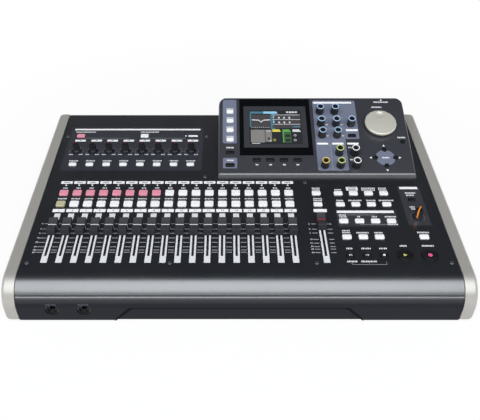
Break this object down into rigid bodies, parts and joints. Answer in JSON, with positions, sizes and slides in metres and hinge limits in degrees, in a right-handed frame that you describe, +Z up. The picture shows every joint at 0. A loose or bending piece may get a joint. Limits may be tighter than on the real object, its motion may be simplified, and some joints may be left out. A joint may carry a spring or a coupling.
{
  "type": "digital multitrack recorder",
  "caption": "Wedge-shaped desktop multitrack recorder with a fader bank, trim knobs, silver side cheeks and a raised pod that holds a display, encoders and a jog wheel.",
  "frame": {"origin": "under the middle of the case, on the surface it stands on", "axes": "+Z up, -Y towards the player, +X to the player's right"},
  "size_m": [0.514, 0.34, 0.108],
  "materials": {
    "tray_steel": "satin powder coat",
    "rear_steel": "satin powder coat",
    "panel_dark": "fine satin paint",
    "apron_dark": "fine satin paint",
    "cheek_silver": "warm silver paint",
    "pod_grey": "fine satin paint",
    "window_gloss": "polished acrylic",
    "lcd_glass": "display glass in a steel frame",
    "board_green": "solder mask",
    "control_metal": "moulded and plated",
    "socket_black": "moulded",
    "screw_steel": "zinc plated",
    "foot_rubber": "moulded",
    "key_white": "translucent silicone",
    "key_dark": "satin silicone",
    "fader_black": "satin moulding",
    "knob_black": "satin moulding",
    "encoder_dark": "satin moulding",
    "jog_silver": "metallic paint"
  },
  "bodies": {
    "case": {"base_tray": "tray_steel", "rear_panel": "rear_steel", "top_panel": "panel_dark", "front_apron": "apron_dark", "side_cheeks": "cheek_silver", "pod_housing": "pod_grey", "display_window": "window_gloss", "lcd_module": "lcd_glass", "circuit_boards": "board_green", "control_units": "control_metal", "sockets": "socket_black", "panel_screws": "screw_steel", "feet": "foot_rubber"},
    "channel_fader_1": {"channel_fader_1": "fader_black"},
    "channel_fader_2": {"channel_fader_2": "fader_black"},
    "channel_fader_3": {"channel_fader_3": "fader_black"},
    "channel_fader_4": {"channel_fader_4": "fader_black"},
    "channel_fader_5": {"channel_fader_5": "fader_black"},
    "channel_fader_6": {"channel_fader_6": "fader_black"},
    "channel_fader_7": {"channel_fader_7": "fader_black"},
    "channel_fader_8": {"channel_fader_8": "fader_black"},
    "channel_fader_9": {"channel_fader_9": "fader_black"},
    "channel_fader_10": {"channel_fader_10": "fader_black"},
    "channel_fader_11": {"channel_fader_11": "fader_black"},
    "channel_fader_12": {"channel_fader_12": "fader_black"},
    "channel_fader_13": {"channel_fader_13": "fader_black"},
    "channel_fader_14": {"channel_fader_14": "fader_black"},
    "channel_fader_15": {"channel_fader_15": "fader_black"},
    "channel_fader_16": {"channel_fader_16": "fader_black"},
    "channel_fader_17": {"channel_fader_17": "fader_black"},
    "channel_fader_18": {"channel_fader_18": "fader_black"},
    "master_fader": {"master_fader": "fader_black"},
    "trim_knob_1": {"trim_knob_1": "knob_black"},
    "trim_knob_2": {"trim_knob_2": "knob_black"},
    "trim_knob_3": {"trim_knob_3": "knob_black"},
    "trim_knob_4": {"trim_knob_4": "knob_black"},
    "trim_knob_5": {"trim_knob_5": "knob_black"},
    "trim_knob_6": {"trim_knob_6": "knob_black"},
    "trim_knob_7": {"trim_knob_7": "knob_black"},
    "trim_knob_8": {"trim_knob_8": "knob_black"},
    "phones_knob": {"phones_knob": "knob_black"},
    "encoder_knob_1": {"encoder_knob_1": "encoder_dark"},
    "encoder_knob_2": {"encoder_knob_2": "encoder_dark"},
    "encoder_knob_3": {"encoder_knob_3": "encoder_dark"},
    "encoder_knob_4": {"encoder_knob_4": "encoder_dark"},
    "encoder_knob_5": {"encoder_knob_5": "encoder_dark"},
    "encoder_knob_6": {"encoder_knob_6": "encoder_dark"},
    "encoder_knob_7": {"encoder_knob_7": "encoder_dark"},
    "encoder_knob_8": {"encoder_knob_8": "encoder_dark"},
    "encoder_knob_9": {"encoder_knob_9": "encoder_dark"},
    "encoder_knob_10": {"encoder_knob_10": "encoder_dark"},
    "encoder_knob_11": {"encoder_knob_11": "encoder_dark"},
    "encoder_knob_12": {"encoder_knob_12": "encoder_dark"},
    "jog_wheel": {"jog_wheel": "jog_silver"},
    "input_keys": {"input_keys": "key_white"},
    "channel_keys": {"channel_keys": "key_white"},
    "command_keys": {"command_keys": "key_white"},
    "transport_keys": {"transport_keys": "key_dark"},
    "pod_keys": {"pod_keys": "key_dark"},
    "standby_button": {"standby_button": "key_dark"}
  },
  "joints": [
    {"name": "channel_fader_1_slide", "type": "slide", "parent": "case", "child": "channel_fader_1", "axis": [0, 0.9993, 0.0384], "range_m": [-0.0387, 0.0089]},
    {"name": "channel_fader_2_slide", "type": "slide", "parent": "case", "child": "channel_fader_2", "axis": [0, 0.9993, 0.0384], "range_m": [-0.0387, 0.0089]},
    {"name": "channel_fader_3_slide", "type": "slide", "parent": "case", "child": "channel_fader_3", "axis": [0, 0.9993, 0.0384], "range_m": [-0.0387, 0.0089]},
    {"name": "channel_fader_4_slide", "type": "slide", "parent": "case", "child": "channel_fader_4", "axis": [0, 0.9993, 0.0384], "range_m": [-0.0387, 0.0089]},
    {"name": "channel_fader_5_slide", "type": "slide", "parent": "case", "child": "channel_fader_5", "axis": [0, 0.9993, 0.0384], "range_m": [-0.0387, 0.0089]},
    {"name": "channel_fader_6_slide", "type": "slide", "parent": "case", "child": "channel_fader_6", "axis": [0, 0.9993, 0.0384], "range_m": [-0.0387, 0.0089]},
    {"name": "channel_fader_7_slide", "type": "slide", "parent": "case", "child": "channel_fader_7", "axis": [0, 0.9993, 0.0384], "range_m": [-0.0387, 0.0089]},
    {"name": "channel_fader_8_slide", "type": "slide", "parent": "case", "child": "channel_fader_8", "axis": [0, 0.9993, 0.0384], "range_m": [-0.0387, 0.0089]},
    {"name": "channel_fader_9_slide", "type": "slide", "parent": "case", "child": "channel_fader_9", "axis": [0, 0.9993, 0.0384], "range_m": [-0.0387, 0.0089]},
    {"name": "channel_fader_10_slide", "type": "slide", "parent": "case", "child": "channel_fader_10", "axis": [0, 0.9993, 0.0384], "range_m": [-0.0387, 0.0089]},
    {"name": "channel_fader_11_slide", "type": "slide", "parent": "case", "child": "channel_fader_11", "axis": [0, 0.9993, 0.0384], "range_m": [-0.0387, 0.0089]},
    {"name": "channel_fader_12_slide", "type": "slide", "parent": "case", "child": "channel_fader_12", "axis": [0, 0.9993, 0.0384], "range_m": [-0.0387, 0.0089]},
    {"name": "channel_fader_13_slide", "type": "slide", "parent": "case", "child": "channel_fader_13", "axis": [0, 0.9993, 0.0384], "range_m": [-0.0387, 0.0089]},
    {"name": "channel_fader_14_slide", "type": "slide", "parent": "case", "child": "channel_fader_14", "axis": [0, 0.9993, 0.0384], "range_m": [-0.0387, 0.0089]},
    {"name": "channel_fader_15_slide", "type": "slide", "parent": "case", "child": "channel_fader_15", "axis": [0, 0.9993, 0.0384], "range_m": [-0.0387, 0.0089]},
    {"name": "channel_fader_16_slide", "type": "slide", "parent": "case", "child": "channel_fader_16", "axis": [0, 0.9993, 0.0384], "range_m": [-0.0387, 0.0089]},
    {"name": "channel_fader_17_slide", "type": "slide", "parent": "case", "child": "channel_fader_17", "axis": [0, 0.9993, 0.0384], "range_m": [-0.0387, 0.0089]},
    {"name": "channel_fader_18_slide", "type": "slide", "parent": "case", "child": "channel_fader_18", "axis": [0, 0.9993, 0.0384], "range_m": [-0.0387, 0.0089]},
    {"name": "master_fader_slide", "type": "slide", "parent": "case", "child": "master_fader", "axis": [0, 0.9993, 0.0384], "range_m": [-0.0476, 0]},
    {"name": "trim_knob_1_turn", "type": "hinge", "parent": "case", "child": "trim_knob_1", "pos_m": [-0.2172, 0.08196, 0.05898], "axis": [0, -0.0384, 0.9993], "range_deg": [-150, 150]},
    {"name": "trim_knob_2_turn", "type": "hinge", "parent": "case", "child": "trim_knob_2", "pos_m": [-0.19504, 0.08196, 0.05898], "axis": [0, -0.0384, 0.9993], "range_deg": [-150, 150]},
    {"name": "trim_knob_3_turn", "type": "hinge", "parent": "case", "child": "trim_knob_3", "pos_m": [-0.17288, 0.08196, 0.05898], "axis": [0, -0.0384, 0.9993], "range_deg": [-150, 150]},
    {"name": "trim_knob_4_turn", "type": "hinge", "parent": "case", "child": "trim_knob_4", "pos_m": [-0.15072, 0.08196, 0.05898], "axis": [0, -0.0384, 0.9993], "range_deg": [-150, 150]},
    {"name": "trim_knob_5_turn", "type": "hinge", "parent": "case", "child": "trim_knob_5", "pos_m": [-0.12856, 0.08196, 0.05898], "axis": [0, -0.0384, 0.9993], "range_deg": [-150, 150]},
    {"name": "trim_knob_6_turn", "type": "hinge", "parent": "case", "child": "trim_knob_6", "pos_m": [-0.1064, 0.08196, 0.05898], "axis": [0, -0.0384, 0.9993], "range_deg": [-150, 150]},
    {"name": "trim_knob_7_turn", "type": "hinge", "parent": "case", "child": "trim_knob_7", "pos_m": [-0.08424, 0.08196, 0.05898], "axis": [0, -0.0384, 0.9993], "range_deg": [-150, 150]},
    {"name": "trim_knob_8_turn", "type": "hinge", "parent": "case", "child": "trim_knob_8", "pos_m": [-0.06208, 0.08196, 0.05898], "axis": [0, -0.0384, 0.9993], "range_deg": [-150, 150]},
    {"name": "phones_knob_turn", "type": "hinge", "parent": "case", "child": "phones_knob", "pos_m": [0.2143, -0.05194, 0.05383], "axis": [0, -0.0384, 0.9993], "range_deg": [-123, 177]},
    {"name": "encoder_knob_1_turn", "type": "hinge", "parent": "case", "child": "encoder_knob_1", "pos_m": [0.1128, 0.12434, 0.09342], "axis": [0, -0.309, 0.9511], "continuous": true},
    {"name": "encoder_knob_2_turn", "type": "hinge", "parent": "case", "child": "encoder_knob_2", "pos_m": [0.1329, 0.12434, 0.09342], "axis": [0, -0.309, 0.9511], "continuous": true},
    {"name": "encoder_knob_3_turn", "type": "hinge", "parent": "case", "child": "encoder_knob_3", "pos_m": [0.1128, 0.1039, 0.08678], "axis": [0, -0.309, 0.9511], "continuous": true},
    {"name": "encoder_knob_4_turn", "type": "hinge", "parent": "case", "child": "encoder_knob_4", "pos_m": [0.1329, 0.1039, 0.08678], "axis": [0, -0.309, 0.9511], "continuous": true},
    {"name": "encoder_knob_5_turn", "type": "hinge", "parent": "case", "child": "encoder_knob_5", "pos_m": [0.1532, 0.1039, 0.08678], "axis": [0, -0.309, 0.9511], "continuous": true},
    {"name": "encoder_knob_6_turn", "type": "hinge", "parent": "case", "child": "encoder_knob_6", "pos_m": [0.1128, 0.08544, 0.08078], "axis": [0, -0.309, 0.9511], "continuous": true},
    {"name": "encoder_knob_7_turn", "type": "hinge", "parent": "case", "child": "encoder_knob_7", "pos_m": [0.1329, 0.08544, 0.08078], "axis": [0, -0.309, 0.9511], "continuous": true},
    {"name": "encoder_knob_8_turn", "type": "hinge", "parent": "case", "child": "encoder_knob_8", "pos_m": [0.1128, 0.03742, 0.06518], "axis": [0, -0.309, 0.9511], "continuous": true},
    {"name": "encoder_knob_9_turn", "type": "hinge", "parent": "case", "child": "encoder_knob_9", "pos_m": [0.1329, 0.05682, 0.07148], "axis": [0, -0.309, 0.9511], "continuous": true},
    {"name": "encoder_knob_10_turn", "type": "hinge", "parent": "case", "child": "encoder_knob_10", "pos_m": [0.1329, 0.03742, 0.06518], "axis": [0, -0.309, 0.9511], "continuous": true},
    {"name": "encoder_knob_11_turn", "type": "hinge", "parent": "case", "child": "encoder_knob_11", "pos_m": [0.1532, 0.05682, 0.07148], "axis": [0, -0.309, 0.9511], "continuous": true},
    {"name": "encoder_knob_12_turn", "type": "hinge", "parent": "case", "child": "encoder_knob_12", "pos_m": [0.1532, 0.03742, 0.06518], "axis": [0, -0.309, 0.9511], "continuous": true},
    {"name": "jog_wheel_turn", "type": "hinge", "parent": "case", "child": "jog_wheel", "pos_m": [0.1926, 0.10285, 0.08644], "axis": [0, -0.309, 0.9511], "continuous": true},
    {"name": "input_keys_press", "type": "slide", "parent": "case", "child": "input_keys", "axis": [0, 0.0384, -0.9993], "range_m": [0, 0.0008], "stiffness_N_per_m": 4000},
    {"name": "channel_keys_press", "type": "slide", "parent": "case", "child": "channel_keys", "axis": [0, 0.0384, -0.9993], "range_m": [0, 0.0008], "stiffness_N_per_m": 4000},
    {"name": "command_keys_press", "type": "slide", "parent": "case", "child": "command_keys", "axis": [0, 0.0384, -0.9993], "range_m": [0, 0.0008], "stiffness_N_per_m": 4000},
    {"name": "transport_keys_press", "type": "slide", "parent": "case", "child": "transport_keys", "axis": [0, 0.0384, -0.9993], "range_m": [0, 0.0008], "stiffness_N_per_m": 4000},
    {"name": "pod_keys_press", "type": "slide", "parent": "case", "child": "pod_keys", "axis": [0, 0.309, -0.9511], "range_m": [0, 0.0008], "stiffness_N_per_m": 4000},
    {"name": "standby_button_press", "type": "slide", "parent": "case", "child": "standby_button", "axis": [0, -1, 0], "range_m": [0, 0.0015], "stiffness_N_per_m": 1500}
  ]
}
